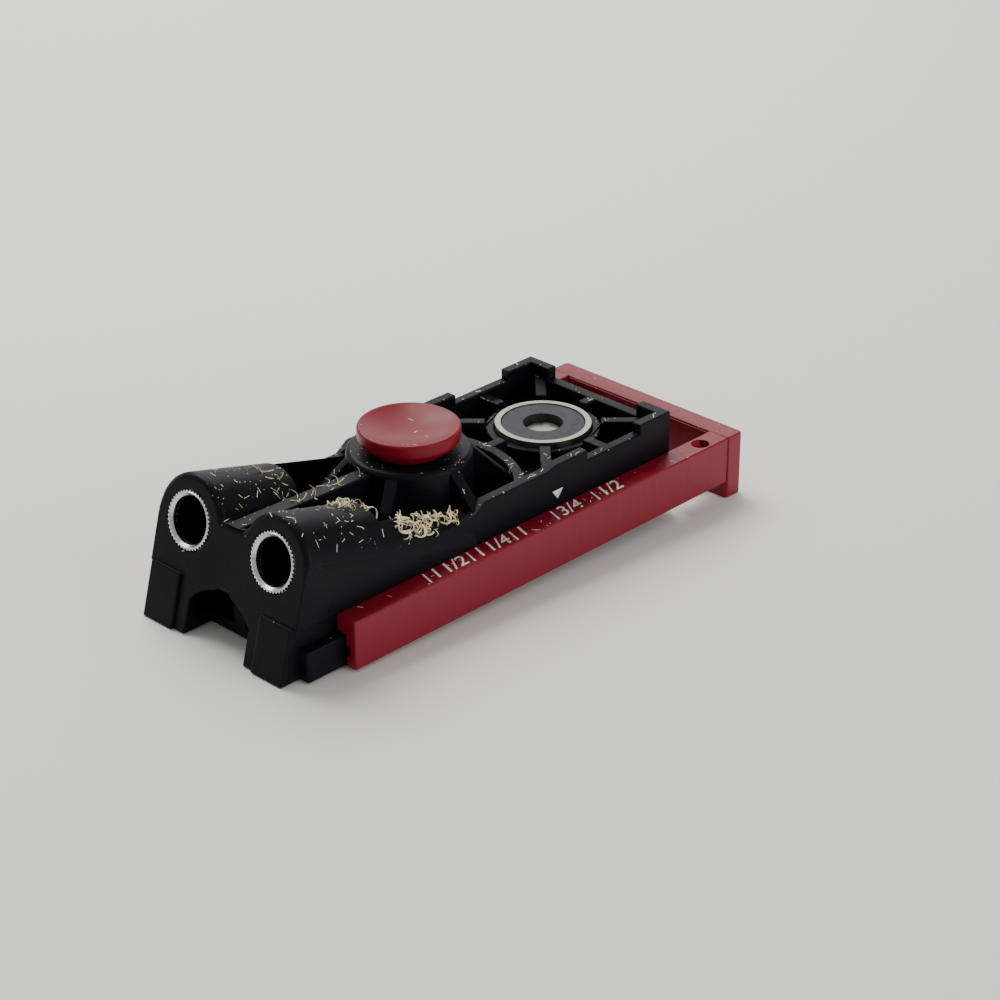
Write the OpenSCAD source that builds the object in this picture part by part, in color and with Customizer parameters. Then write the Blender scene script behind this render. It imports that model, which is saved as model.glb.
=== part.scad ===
// Pocket hole jig: a moulded drill guide with two steel bushings, a red thickness
// frame that slides along its base, and a push button that frees the frame.
// Z = 0 is the face that lies on the board, X runs from the bushings to the stop.

/* [Drill guide] */
// Angle between the drill and the face of the board
drill_angle = 15; // [13:0.5:17]
// Diameter of the step drill
drill_d = 9.52; // [8:0.01:10.5]
// Distance between the two drill axes
drill_spacing = 23.6; // [22:0.1:25]
// Distance of the bushing mouths behind the origin
mouth_x = 60; // [57:0.5:63]
// Height of the bushing mouths above the base
mouth_z = 21.2; // [20.5:0.1:22.5]
// Outer diameter of a bushing
bushing_d = 11.7; // [11:0.1:12.4]
// Length of a bushing
bushing_len = 20; // [16:0.5:21]
// How far a bushing stands out of the end face
bushing_proud = 0.25; // [0.1:0.05:0.5]
// Plastic around each bushing
barrel_wall = 3.3; // [2.8:0.1:3.5]

/* [Body] */
// Width over the side walls
body_w = 39.6; // [38.6:0.2:41]
// Thickness of the side walls
wall_t = 2.4; // [2:0.1:3]
// Height of the clamp seat and of the side walls beside the barrels
wall_h = 16.5; // [15:0.5:18]
// Rise of the side walls beside the button
wall_rise = 2.1; // [1.5:0.1:2.4]
// Thickness of the base plate
base_t = 2.4; // [1.8:0.1:3]
// Thickness of the slanted end wall
end_wall_t = 3; // [2:0.1:4]
// How far the flat side panels stand out of the side walls
panel_proud = 0.85; // [0.4:0.05:1.1]
// Thickness of the stiffening ribs
rib_t = 2.4; // [1.8:0.1:3]
// Thickness of the long rib between the barrels
centre_rib_t = 3.6; // [2.8:0.1:4.4]
// Height where the long rib starts at the end face
centre_rib_z = 24; // [22:0.5:25]
// Width of the arch in the end wall
arch_w = 16.8; // [12:0.2:18]
// Height of the arch in the end wall
arch_h = 11; // [9:0.5:12]
// Rise of the arch above its springing
arch_rise = 4; // [3:0.1:6]
// How far the two feet stand out of the end face
foot_proud = 0.6; // [0.3:0.1:1]

/* [Clamp seat] */
// Distance of the seat centre in front of the origin
seat_x = 25.1; // [24:0.1:26]
// Height of the corner posts above the seat
post_rise = 2.7; // [2:0.1:4]
// Length of each corner post along the side walls
post_len = 9.3; // [7:0.1:11]
// Length of each corner post along the end wall
post_across = 7.5; // [5:0.1:9]
// Rise of the low walls between the posts above the seat
notch_rise = 0.6; // [0.2:0.1:1.2]
// Thickness of the deck under the seat
deck_t = 2; // [1.5:0.1:2.4]
// Room between the drill and the deck above it
deck_clear = 1; // [0.6:0.1:1.4]
// Diameter of the pot magnet
magnet_d = 20; // [16:0.5:22]
// Gap between the pot magnet and a plate that lies on the seat
magnet_gap = 0.3; // [0.2:0.05:0.6]
// Wall of the steel pot
pot_wall = 1.2; // [0.8:0.1:1.6]
// Shank diameter of the magnet's screw
magnet_screw_d = 3.8; // [3:0.1:4.4]
// Length of the magnet's screw under its head
magnet_screw_len = 7.5; // [6:0.5:8]

/* [Thickness frame] */
// Board thickness that the frame is set to
board_set = 19.05; // [12.7:0.05:38.1]
// Thinnest board that the frame takes
board_min = 12.7; // [12.7:0.05:13.5]
// Length of a rail
rail_len = 107.1; // [105.5:0.1:112]
// Height of a rail
rail_h = 10.3; // [9.8:0.1:11.5]
// Thickness of the upright wall of a rail
rail_wall = 2.65; // [2.4:0.05:3.2]
// Length of the solid block at the stop end of a rail
rail_block_len = 11.5; // [11:0.1:13]
// Thickness of the stop bar
stop_t = 4.7; // [4:0.1:7]
// Depth of the stop bar below the base
stop_drop = 4; // [3:0.1:6]
// Edge chamfer of the stop bar
stop_chamfer = 0.5; // [0.2:0.1:1]
// How far the stop's board face stands out between the rails
stop_pad = 0.3; // [0.2:0.1:0.6]
// Width of the base flange that carries a rail
flange_w = 2.4; // [2:0.1:3]
// Distance of the base flange behind the foot of the end face
flange_inset = 4.2; // [3:0.1:6]
// Height of the base flange
flange_h = 6.5; // [5.8:0.1:6.8]
// How far the flange's tongue reaches into the rail
tongue_w = 1; // [0.6:0.05:1.1]
// Height of the tongue
tongue_h = 1.8; // [1.2:0.1:2.2]
// Sliding gap between the frame and the body
slide_gap = 0.2; // [0.1:0.05:0.3]
// Length of the stop bar's tenons
tenon_len = 9.5; // [8.5:0.1:10]
// Width of the tenons
tenon_w = 3.4; // [3:0.1:3.6]
// Height of the tenons
tenon_h = 5.5; // [4:0.1:6]
// Diameter of the pins that hold the tenons
pin_d = 2.2; // [1.6:0.1:2.4]
// Diameter of the recess above each pin
pin_recess_d = 3.9; // [3:0.1:4.2]
// Depth of the recess above each pin
pin_recess_depth = 1.5; // [1:0.1:1.8]
// Distance of the pins from the stop bar
pin_inset = 6.1; // [5.5:0.1:6.8]

/* [Button] */
// Distance of the button behind the origin
button_x = 13.4; // [12.6:0.1:13.6]
// Diameter of the button
button_d = 20.6; // [18:0.2:23]
// Height of the button's lower rim above the base
button_z = 25.6; // [24.5:0.1:28]
// Thickness of the button at its rim
button_h = 3.45; // [3:0.05:5]
// Depth of the dish in the button
dish_depth = 1.7; // [0.8:0.1:2]
// Radius of the button's lower edge
button_edge_r = 1.3; // [0.6:0.1:1.4]
// Radius of the button's upper edge
button_lip_r = 0.5; // [0.3:0.1:1]
// Travel of the button
button_travel = 1.2; // [0.8:0.1:1.3]
// Diameter of the button's neck
neck_d = 15; // [13:0.5:16]
// Length of the button's neck
neck_len = 4.8; // [3.5:0.1:5.5]
// Diameter of the button's stem
stem_d = 6.4; // [5.6:0.1:7]
// Running gap around the neck and the stem
button_gap = 0.2; // [0.1:0.05:0.3]
// Outer diameter of the boss below the button
boss_d = 25.2; // [24:0.2:26]
// Radius of the boss's upper edge
boss_edge_r = 1.2; // [0.6:0.1:1.8]
// Depth of the spring chamber in the boss
chamber_depth = 9.2; // [8.8:0.1:11]
// Mean diameter of the return spring
spring_d = 10.2; // [9.2:0.1:11.4]
// Wire diameter of the return spring
spring_wire = 0.9; // [0.6:0.1:1]
// Number of turns of the return spring
spring_turns = 4; // [3:1:4]
// Thickness of the lock plate
lock_t = 1.6; // [1.2:0.1:1.7]
// Width of the lock plate
lock_w = 4.6; // [4:0.1:4.8]
// Gap between the lock plate and the rails that it holds
lock_gap = 0.05; // [0.02:0.01:0.1]
// Shank diameter of the lock plate's screw
lock_screw_d = 3; // [2.2:0.1:3.2]
// Length of the lock plate's screw
lock_screw_len = 9; // [7:0.5:11]

/* [Hidden] */
$fn = 64;
// Overlap that joins touching shapes of one piece
weld = 0.02;
// Reach of cuts beyond what they cut
beyond = 40;
// Clearance of fitted pieces, such as tenons and pins
fit_gap = 0.05;
// Room around the drill inside the body
drill_room = 0.35;

// Drill axes
drill_y = drill_spacing / 2;
drill_drop = tan(drill_angle);
axis_x = mouth_z / drill_drop - mouth_x;
bore_r = drill_d / 2;
room_r = bore_r + drill_room;
barrel_r = bushing_d / 2 + barrel_wall;
barrel_over = 1;
barrel_len = bushing_len + barrel_over;
function axis_z(x) = (axis_x - x) * drill_drop;
function end_x(z) = (z - mouth_z) * drill_drop - mouth_x;

// Long shapes start a little before the end face, which trims them
lead = 5;
start_x = end_x(0) - lead;
// How far the arch cut reaches behind the end wall
arch_reach = 4;
// Gap between the arch and a foot
foot_gap = 3;

// Stop positions follow the board: the drill leaves its end grain at half thickness
function stop_x(board) = axis_x + board / 2 / drill_drop;
stop_face = stop_x(board_set) + stop_pad;
stop_face_min = stop_x(board_min) + stop_pad;
frame_gap = 0.5;
body_end = stop_x(board_min) - frame_gap;

// Side walls
half_w = body_w / 2;
inner_w = half_w - wall_t;
panel_y = half_w + panel_proud;
trough_inset = 0.4;
trough_y = inner_w - trough_inset;
ledge_step = 0.25;
trough_r = barrel_r - ledge_step;
panel_lap = 0.5;
trough_lap = 0.4;
slope_rise = sqrt(trough_r * trough_r - (half_w - drill_y) * (half_w - drill_y)) - trough_lap;
panel_gap = 1.6;
panel_end = -button_x - panel_gap;
ledge_start = 4;
wall_top = wall_h + wall_rise;
wall_ramp = 3;
post_top = wall_h + post_rise;
bump_start = 2 * seat_x - body_end;
bump_end = bump_start + post_len;
bump_ramp = 2.3;

// Clamp seat
arc_r = 20.5;
arc_t = 2.3;
deck_top = axis_z(arc_r - button_x) + room_r / cos(drill_angle) + deck_clear + deck_t;
pot_h = wall_h - magnet_gap - deck_top;
pot_gap = 0.15;
pot_ring_t = 1.8;
pot_ring_drop = 1;
magnet_wall_gap = 0.2;
magnet_hole_d = magnet_screw_d * 2.2;
magnet_sink = 0.2;
screw_head_d = magnet_screw_d * 1.85;
screw_head_h = 1.6;
column_wall = 2.5;
column_d = magnet_screw_d + 2 * column_wall;
screw_room = 0.5;
web_t = 2.4;
web_gap = 0.4;
web_y = drill_y - room_r - web_gap - web_t / 2;

// Rails and stop bar
flange_y = half_w + flange_w;
rail_in = flange_y + slide_gap;
rail_out = rail_in + rail_wall;
lip_in = half_w + slide_gap;
lip_z = flange_h + slide_gap;
rail_start = stop_face - rail_len;
flange_start = end_x(0) + flange_inset;
flange_end = stop_face_min - rail_block_len - frame_gap;
tongue_z = (lip_z - tongue_h) / 2;
tongue_inset = 2;
tongue_start = rail_start + tongue_inset;
panel_z = rail_h + slide_gap;
joint_y = (lip_in + rail_out) / 2;
tenon_z = 2;
pin_top = rail_h - pin_recess_depth;
pin_bottom = 0.8;

// Button, spring and lock
boss_top = button_z - button_travel - button_gap;
chamber_z = boss_top - chamber_depth;
neck_z = button_z - neck_len;
lock_drill_gap = 0.1;
lock_z = axis_z(lock_w / 2 - button_x) - bore_r / cos(drill_angle) - lock_drill_gap - lock_t;
lock_top = lock_z + lock_t;
lock_end_gap = 0.4;
lock_y = flange_y - lock_end_gap;
channel_gap = 0.4;
channel_w = lock_w + 2 * channel_gap;
boss_r = boss_d / 2;
boss_taper = 0.4;
rib_inner_z = boss_top - boss_edge_r;
rib_fall = 0.95;
rib_run = 5;
screw_cone_h = 1.3;

body_black = "#1d1d20";
frame_red = "#8c1a2b";
bright_steel = "#c9ccd0";
spring_steel = "#a9adb3";
dull_steel = "#8d9196";

// Children lie on a drill axis, with Z pointing from the mouth into the board
module on_drill(side) {
    translate([-mouth_x, side * drill_y, mouth_z])
        rotate([0, 90 + drill_angle, 0])
            children();
}

// A plate in the XZ plane, from y_from towards +Y
module upright(y_from, thickness) {
    translate([0, y_from + thickness, 0])
        rotate([90, 0, 0])
            linear_extrude(thickness)
                children();
}

// A plate of the given width across the body, centred on Y = 0
module across(width) {
    upright(-width / 2, width) children();
}

// Outline of a side wall: sloping up beside the barrel, then the two clamp posts
module wall_outline() {
    polygon([
        [start_x, 0],
        [body_end, 0],
        [body_end, post_top],
        [body_end - post_len, post_top],
        [body_end - post_len, wall_h + notch_rise],
        [bump_end, wall_h + notch_rise],
        [bump_end, post_top],
        [bump_start, post_top],
        [bump_start - bump_ramp, wall_top],
        [panel_end + wall_ramp, wall_top],
        [panel_end, wall_h],
        [axis_x - (wall_h - slope_rise) / drill_drop, wall_h],
        [start_x, axis_z(start_x) + slope_rise],
    ]);
}

// Flat panel on the outside of a wall, between the rail and the drill's axis
module panel_outline() {
    polygon([
        [start_x, panel_z],
        [axis_x - (panel_z - panel_lap) / drill_drop, panel_z],
        [start_x, axis_z(start_x) + panel_lap],
    ]);
}

module side_wall(side) {
    upright(side > 0 ? inner_w : -half_w, wall_t) wall_outline();
    upright(side > 0 ? half_w - weld : -panel_y, panel_proud + weld) panel_outline();
}

// Space outside the trough line of one side, above the rails and up to the panel's end
module outer_side(side, from) {
    translate([start_x, side > 0 ? from : -panel_y, panel_z])
        cube([panel_end - start_x, panel_y - from, 2 * mouth_z]);
}

// Barrel round a bushing, and the quarter shell that runs on along the wall as a chip trough
module barrel(side) {
    difference() {
        intersection() {
            on_drill(side) cylinder(r = barrel_r, h = barrel_len);
            translate([-2 * mouth_x, -panel_y, 0]) cube([2 * mouth_x, 2 * panel_y, 2 * mouth_z]);
        }
        intersection() {
            outer_side(side, trough_y);
            on_drill(0)
                translate([-beyond, -beyond, ledge_start]) cube([2 * beyond, 2 * beyond, 2 * beyond]);
        }
    }
    intersection() {
        on_drill(side) cylinder(r = trough_r, h = 3 * mouth_x);
        outer_side(side, trough_y - trough_lap);
    }
}

// Slanted end wall, square to the drill, with the web between the two barrels
module end_wall() {
    on_drill(0) {
        translate([0, wall_t / 2 - half_w, 0]) cube([2 * mouth_z, body_w - wall_t, end_wall_t]);
        translate([-(centre_rib_z - mouth_z) / cos(drill_angle), -drill_y / 2, 0])
            cube([mouth_z, drill_y, end_wall_t]);
    }
}

// Long rib that climbs between the barrels from the end face to the boss
module centre_rib() {
    across(centre_rib_t)
        polygon([
            [end_x(0), 0],
            [-button_x, 0],
            [-button_x, rib_inner_z],
            [-button_x - boss_r, rib_inner_z],
            [end_x(centre_rib_z), centre_rib_z],
        ]);
}

// Rib from the boss at an angle, its top falling to the wall it meets
module boss_rib(angle, reach) {
    translate([-button_x, 0, 0])
        rotate([0, 0, angle])
            across(rib_t)
                polygon([
                    [0, 0],
                    [reach, 0],
                    [reach, rib_inner_z - (reach - boss_r) * rib_fall],
                    [boss_r, rib_inner_z],
                    [0, rib_inner_z],
                ]);
}

// Boss that holds the button, with its ribs and the arc wall round it
module boss() {
    translate([-button_x, 0, 0])
        rotate_extrude()
            polygon(concat(
                [[0, 0], [boss_r + boss_taper, 0]],
                arc_points([boss_r - boss_edge_r, rib_inner_z], boss_edge_r, 0, 90, 6),
                [[0, boss_top]]
            ));
    for (angle = [90, 270]) boss_rib(angle, inner_w + wall_t / 2);
    for (angle = [150, 210]) boss_rib(angle, boss_r + rib_run);
    for (angle = [0, 30, 330]) boss_rib(angle, arc_r + arc_t / 2);
    intersection() {
        translate([-button_x, 0, 0])
            difference() {
                cylinder(r = arc_r + arc_t, h = wall_h);
                translate([0, 0, -1]) cylinder(r = arc_r, h = wall_h + 2);
            }
        translate([-button_x, -inner_w - weld, 0]) cube([beyond, 2 * (inner_w + weld), wall_h]);
    }
}

// Deck under the clamp seat, with the ring for the pot magnet and the ribs that carry a plate
module clamp_seat() {
    ring_r = magnet_d / 2 + pot_gap + pot_ring_t;
    difference() {
        translate([-button_x, -inner_w - weld, deck_top - deck_t])
            cube([body_end + button_x - weld, 2 * (inner_w + weld), deck_t]);
        translate([-button_x, 0, 0]) cylinder(r = arc_r + weld, h = wall_h);
    }
    translate([seat_x, 0, 0]) {
        translate([0, 0, deck_top - weld])
            difference() {
                cylinder(r = ring_r, h = pot_h - pot_ring_drop);
                translate([0, 0, -1]) cylinder(r = magnet_d / 2 + pot_gap, h = pot_h + 2);
            }
        cylinder(d = column_d, h = deck_top - weld);
    }
    intersection() {
        translate([seat_x, 0, deck_top - weld])
            for (angle = [0:45:315])
                rotate([0, 0, angle])
                    translate([ring_r - weld, -rib_t / 2, 0])
                        cube([beyond, rib_t, wall_h - deck_top + weld]);
        difference() {
            translate([-button_x, -inner_w - weld, 0])
                cube([body_end + button_x - weld, 2 * (inner_w + weld), wall_h]);
            translate([-button_x, 0, 0]) cylinder(r = arc_r + weld, h = wall_h);
        }
    }
    for (side = [-1, 1])
        translate([0, side * web_y - web_t / 2, 0]) cube([body_end - weld, web_t, deck_top - weld]);
}

// End wall at the stop, low between its two raised corner posts
module stop_end_wall() {
    translate([body_end - wall_t, 0, 0]) {
        translate([0, -half_w, 0]) cube([wall_t, body_w, wall_h]);
        for (side = [-1, 1])
            translate([0, side > 0 ? half_w - post_across : -half_w, wall_h - weld])
                cube([wall_t, post_across, post_rise + weld]);
    }
}

// Base flange that carries a rail, with its tongue
module flange(side) {
    mirror([0, side > 0 ? 0 : 1, 0]) {
        translate([flange_start, half_w - weld, 0])
            cube([flange_end - flange_start, flange_w + weld, flange_h]);
        translate([tongue_start, flange_y - weld, tongue_z])
            cube([flange_end - tongue_start, tongue_w + weld, tongue_h]);
    }
}

// The two feet that stand a little out of the end face
module feet() {
    foot_in = arch_w / 2 + foot_gap;
    intersection() {
        for (side = [-1, 1])
            translate([start_x, side > 0 ? foot_in : -half_w, 0])
                cube([beyond, half_w - foot_in, arch_h]);
        on_drill(0)
            translate([0, -beyond, -foot_proud])
                cube([beyond, 2 * beyond, foot_proud + 1]);
    }
}

// Arch through the end wall, where chips fall out
module arch_cut() {
    arch_r = (arch_w * arch_w / 4 + arch_rise * arch_rise) / (2 * arch_rise);
    translate([start_x, 0, 0])
        rotate([90, 0, 90])
            linear_extrude(lead + end_wall_t + arch_reach)
                intersection() {
                    translate([0, arch_h - arch_r]) circle(r = arch_r);
                    translate([-arch_w / 2, -1]) square([arch_w, arch_h + 2]);
                }
}

// Everything beyond the end face and below the base
module end_cut() {
    on_drill(0) translate([-beyond, -beyond, -beyond]) cube([3 * beyond, 2 * beyond, beyond]);
    translate([-2 * mouth_x, -beyond, -beyond]) cube([2 * mouth_x, 2 * beyond, beyond]);
}

// Bushing seat and the drill's way through the body
module drill_cut(side) {
    on_drill(side) {
        translate([0, 0, -1]) cylinder(r = bushing_d / 2 + fit_gap, h = bushing_len - bushing_proud + 1);
        cylinder(r = room_r, h = 3 * mouth_x);
    }
}

// Spring chamber, stem guide and the channel of the lock plate
module button_cut() {
    translate([-button_x, 0, 0]) {
        translate([0, 0, chamber_z]) cylinder(d = neck_d + 2 * button_gap, h = beyond);
        translate([0, 0, -1]) cylinder(d = stem_d + 2 * button_gap, h = beyond);
        translate([-channel_w / 2, -beyond, -1])
            cube([channel_w, 2 * beyond, lock_top + button_gap + 1]);
        for (side = [-1, 1])
            translate([-channel_w / 2, side > 0 ? half_w : -beyond, -1])
                cube([channel_w, beyond - half_w, flange_h + 2]);
    }
}

module jig_body() {
    color(body_black)
        difference() {
            union() {
                difference() {
                    union() {
                        for (side = [-1, 1]) {
                            side_wall(side);
                            barrel(side);
                            flange(side);
                        }
                        translate([start_x, -half_w, 0])
                            cube([arc_r - button_x - start_x, body_w, base_t]);
                        end_wall();
                        centre_rib();
                        boss();
                        stop_end_wall();
                    }
                    end_cut();
                    arch_cut();
                }
                clamp_seat();
                feet();
            }
            for (side = [-1, 1]) drill_cut(side);
            button_cut();
            translate([seat_x, 0, deck_top - magnet_screw_len + pot_wall - screw_room])
                cylinder(d = magnet_screw_d + 2 * fit_gap, h = beyond);
        }
}

module bushing(side) {
    color(bright_steel)
        on_drill(side)
            translate([0, 0, -bushing_proud])
                difference() {
                    cylinder(d = bushing_d, h = bushing_len);
                    translate([0, 0, -1]) cylinder(r = bore_r, h = bushing_len + 2);
                }
}

module right_bushing() {
    bushing(-1);
}

module left_bushing() {
    bushing(1);
}

// Section of a rail: upright wall, lip over the flange and groove for the tongue
module rail_section() {
    polygon([
        [rail_in, 0],
        [rail_out, 0],
        [rail_out, rail_h],
        [lip_in, rail_h],
        [lip_in, lip_z],
        [rail_in, lip_z],
        [rail_in, tongue_z + tongue_h + slide_gap],
        [rail_in + tongue_w, tongue_z + tongue_h + slide_gap],
        [rail_in + tongue_w, tongue_z - slide_gap],
        [rail_in, tongue_z - slide_gap],
    ]);
}

// Tenon of the stop bar, or its socket when made larger by a gap
module tenon(gap) {
    translate([stop_face - tenon_len - gap, joint_y - tenon_w / 2 - gap, tenon_z - gap])
        cube([tenon_len + gap + 1, tenon_w + 2 * gap, tenon_h + 2 * gap]);
}

module pin_axis() {
    translate([stop_face - pin_inset, joint_y, 0]) children();
}

// The rail on the +Y side
module rail() {
    color(frame_red)
        difference() {
            union() {
                translate([rail_start, 0, 0])
                    rotate([90, 0, 90]) linear_extrude(rail_len) rail_section();
                translate([stop_face - rail_block_len, lip_in, 0])
                    cube([rail_block_len, rail_out - lip_in, rail_h]);
            }
            tenon(fit_gap);
            pin_axis() {
                translate([0, 0, pin_bottom]) cylinder(d = pin_d + 2 * fit_gap, h = beyond);
                translate([0, 0, pin_top]) cylinder(d = pin_recess_d, h = beyond);
            }
        }
}

module left_rail() {
    rail();
}

module right_rail() {
    mirror([0, 1, 0]) rail();
}

module stop_bar() {
    c = stop_chamfer;
    color(frame_red)
        union() {
            translate([stop_face, 0, -stop_drop])
                linear_extrude(rail_h + stop_drop)
                    polygon([
                        [0, c - rail_out],
                        [c, -rail_out],
                        [stop_t - c, -rail_out],
                        [stop_t, c - rail_out],
                        [stop_t, rail_out - c],
                        [stop_t - c, rail_out],
                        [c, rail_out],
                        [0, rail_out - c],
                    ]);
            translate([stop_face - stop_pad, -half_w, c - stop_drop])
                cube([stop_pad + weld, body_w, rail_h + stop_drop - 2 * c]);
            for (side = [0, 1])
                mirror([0, side, 0])
                    difference() {
                        tenon(0);
                        pin_axis() cylinder(d = pin_d + 2 * fit_gap, h = beyond);
                    }
        }
}

module rail_pins() {
    color(dull_steel)
        for (side = [0, 1])
            mirror([0, side, 0])
                pin_axis()
                    translate([0, 0, pin_bottom]) cylinder(d = pin_d, h = pin_top - pin_bottom);
}

// Points on an arc in the plane of a turned profile
function arc_points(centre, radius, from, to, steps) =
    [for (i = [0:steps]) let (a = from + (to - from) * i / steps) centre + radius * [cos(a), sin(a)]];

// Turned profile of the button's disc: rounded rim and a dished top
module button_profile() {
    rim_r = button_d / 2;
    e = button_edge_r;
    lip = button_lip_r;
    dish_r = rim_r - lip;
    dish_ball = (dish_r * dish_r + dish_depth * dish_depth) / (2 * dish_depth);
    dish_half = asin(dish_r / dish_ball);
    polygon(concat(
        [[0, 0]],
        arc_points([rim_r - e, e], e, -90, 0, 8),
        arc_points([rim_r - lip, button_h - lip], lip, 0, 90, 8),
        arc_points([0, button_h - dish_depth + dish_ball], dish_ball, dish_half - 90, -90, 16)
    ));
}

module button_cap() {
    color(frame_red)
        translate([-button_x, 0, 0])
            difference() {
                union() {
                    translate([0, 0, button_z]) rotate_extrude() button_profile();
                    translate([0, 0, neck_z]) cylinder(d = neck_d, h = neck_len + weld);
                    translate([0, 0, lock_top]) cylinder(d = stem_d, h = neck_z - lock_top + weld);
                }
                translate([0, 0, lock_top - 1])
                    cylinder(d = lock_screw_d + 2 * fit_gap, h = lock_screw_len - lock_t + 2);
            }
}

// Return spring between the chamber floor and the neck, swept along a helix
module button_spring() {
    sides = 8;
    steps = 24 * spring_turns;
    low = chamber_z + spring_wire / 2 + fit_gap;
    high = neck_z - spring_wire / 2 - fit_gap;
    rings = [for (i = [0:steps], k = [0:sides - 1])
        let (
            turn = 360 * spring_turns * i / steps,
            a = 360 * k / sides,
            r = spring_d / 2 + spring_wire / 2 * cos(a)
        )
        [r * cos(turn), r * sin(turn), low + (high - low) * i / steps + spring_wire / 2 * sin(a)]];
    skin = [for (i = [0:steps - 1], k = [0:sides - 1])
        let (n = (k + 1) % sides, b = i * sides)
        [b + k, b + sides + k, b + sides + n, b + n]];
    ends = [[for (k = [0:sides - 1]) k], [for (k = [sides - 1:-1:0]) steps * sides + k]];
    color(spring_steel)
        translate([-button_x, 0, 0]) polyhedron(points = rings, faces = concat(skin, ends), convexity = 10);
}

// Steel strip below the drills, with turned-up ends that press on the lips of the rails
module lock_plate() {
    color(dull_steel)
        translate([-button_x, 0, 0])
            difference() {
                union() {
                    translate([-lock_w / 2, -lock_y, lock_z]) cube([lock_w, 2 * lock_y, lock_t]);
                    for (side = [0, 1])
                        mirror([0, side, 0])
                            translate([-lock_w / 2, lock_y - lock_t, lock_z])
                                cube([lock_w, lock_t, lip_z - lock_gap - lock_z]);
                }
                translate([0, 0, lock_z - 1]) cylinder(d = lock_screw_d + 2 * fit_gap, h = lock_t + 2);
                translate([0, 0, lock_z - weld])
                    cylinder(d1 = lock_screw_d + 2 * screw_cone_h, d2 = lock_screw_d, h = screw_cone_h);
            }
}

module lock_screw() {
    color(dull_steel)
        translate([-button_x, 0, lock_z + fit_gap]) {
            cylinder(d1 = lock_screw_d + 2 * screw_cone_h - 4 * fit_gap, d2 = lock_screw_d - weld,
                h = screw_cone_h - fit_gap);
            cylinder(d = lock_screw_d, h = lock_screw_len);
        }
}

module magnet_pot() {
    color(bright_steel)
        translate([seat_x, 0, deck_top])
            difference() {
                cylinder(d = magnet_d, h = pot_h);
                translate([0, 0, pot_wall]) cylinder(d = magnet_d - 2 * pot_wall, h = pot_h);
                translate([0, 0, -1]) cylinder(d = magnet_screw_d + 2 * fit_gap, h = pot_h);
            }
}

module clamp_magnet() {
    color(dull_steel)
        translate([seat_x, 0, deck_top + pot_wall])
            difference() {
                cylinder(d = magnet_d - 2 * pot_wall - 2 * magnet_wall_gap, h = pot_h - pot_wall - magnet_sink);
                translate([0, 0, -1]) cylinder(d = magnet_hole_d, h = pot_h);
            }
}

module magnet_screw() {
    color(dull_steel)
        translate([seat_x, 0, deck_top + pot_wall]) {
            cylinder(d = screw_head_d, h = screw_head_h);
            translate([0, 0, -magnet_screw_len]) cylinder(d = magnet_screw_d, h = magnet_screw_len + weld);
        }
}

jig_body();
right_bushing();
left_bushing();
right_rail();
left_rail();
stop_bar();
rail_pins();
button_cap();
button_spring();
lock_plate();
lock_screw();
magnet_pot();
clamp_magnet();
magnet_screw();
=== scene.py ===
import math

import bmesh
import bpy
from mathutils import Matrix, Vector
from mathutils.bvhtree import BVHTree


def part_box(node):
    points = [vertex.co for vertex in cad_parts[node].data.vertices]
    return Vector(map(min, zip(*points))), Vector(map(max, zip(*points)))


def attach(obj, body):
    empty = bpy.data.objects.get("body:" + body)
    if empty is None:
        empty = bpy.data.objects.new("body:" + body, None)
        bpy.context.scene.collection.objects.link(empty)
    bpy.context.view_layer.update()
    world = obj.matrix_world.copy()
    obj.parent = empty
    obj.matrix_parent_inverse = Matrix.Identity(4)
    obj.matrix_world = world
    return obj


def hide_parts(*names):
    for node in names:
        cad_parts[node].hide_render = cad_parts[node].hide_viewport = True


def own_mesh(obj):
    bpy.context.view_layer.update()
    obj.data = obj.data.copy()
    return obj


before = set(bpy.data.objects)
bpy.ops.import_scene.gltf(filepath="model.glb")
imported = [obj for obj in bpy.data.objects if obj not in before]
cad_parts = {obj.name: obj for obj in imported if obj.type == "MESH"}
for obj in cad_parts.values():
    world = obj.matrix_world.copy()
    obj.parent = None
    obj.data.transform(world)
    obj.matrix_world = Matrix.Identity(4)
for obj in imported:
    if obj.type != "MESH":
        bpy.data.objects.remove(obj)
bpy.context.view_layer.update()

mm = 0.001
buttonX = -13.4  # centre of the button and its boss, in millimetres
magnetX = 25.1  # centre of the clamp seat's magnet


# Small helpers

def linear(colour):
    parts = [int(colour[i:i + 2], 16) / 255 for i in (1, 3, 5)]
    return tuple(c / 12.92 if c <= 0.04045 else ((c + 0.055) / 1.055) ** 2.4 for c in parts) + (1.0,)


def perSize(size):
    return 1 / (size * mm)  # pattern scale that gives features of this size in millimetres


def addNode(tree, kind, settings=None, links=None):
    node = tree.nodes.new(kind)
    for key, value in (settings or {}).items():
        if isinstance(key, int) or key in node.inputs.keys():
            node.inputs[key].default_value = value
        else:
            setattr(node, key, value)
    for key, source in (links or {}).items():
        tree.links.new(source, node.inputs[key])
    return node


def newMaterial(name, colour, roughness, **sockets):
    material = bpy.data.materials.new(name)
    material.use_nodes = True
    tree = material.node_tree
    shader = tree.nodes["Principled BSDF"]
    shader.inputs["Base Color"].default_value = linear(colour)
    shader.inputs["Roughness"].default_value = roughness
    for key, value in sockets.items():
        shader.inputs[key.replace("_", " ")].default_value = value
    coords = addNode(tree, "ShaderNodeTexCoord").outputs["Object"]
    return material, tree, shader, coords


def meshObject(name, mesh, material, body, slot, *nodes):
    item = bpy.data.objects.new(name, mesh)
    bpy.context.scene.collection.objects.link(item)
    mesh.materials.clear()
    mesh.materials.append(material)
    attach(item, body)
    if nodes:
        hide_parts(*nodes)
    return item


def shadeByAngle(mesh, degrees):
    mesh.polygons.foreach_set("use_smooth", [True] * len(mesh.polygons))
    mesh.set_sharp_from_angle(angle=math.radians(degrees))


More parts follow.
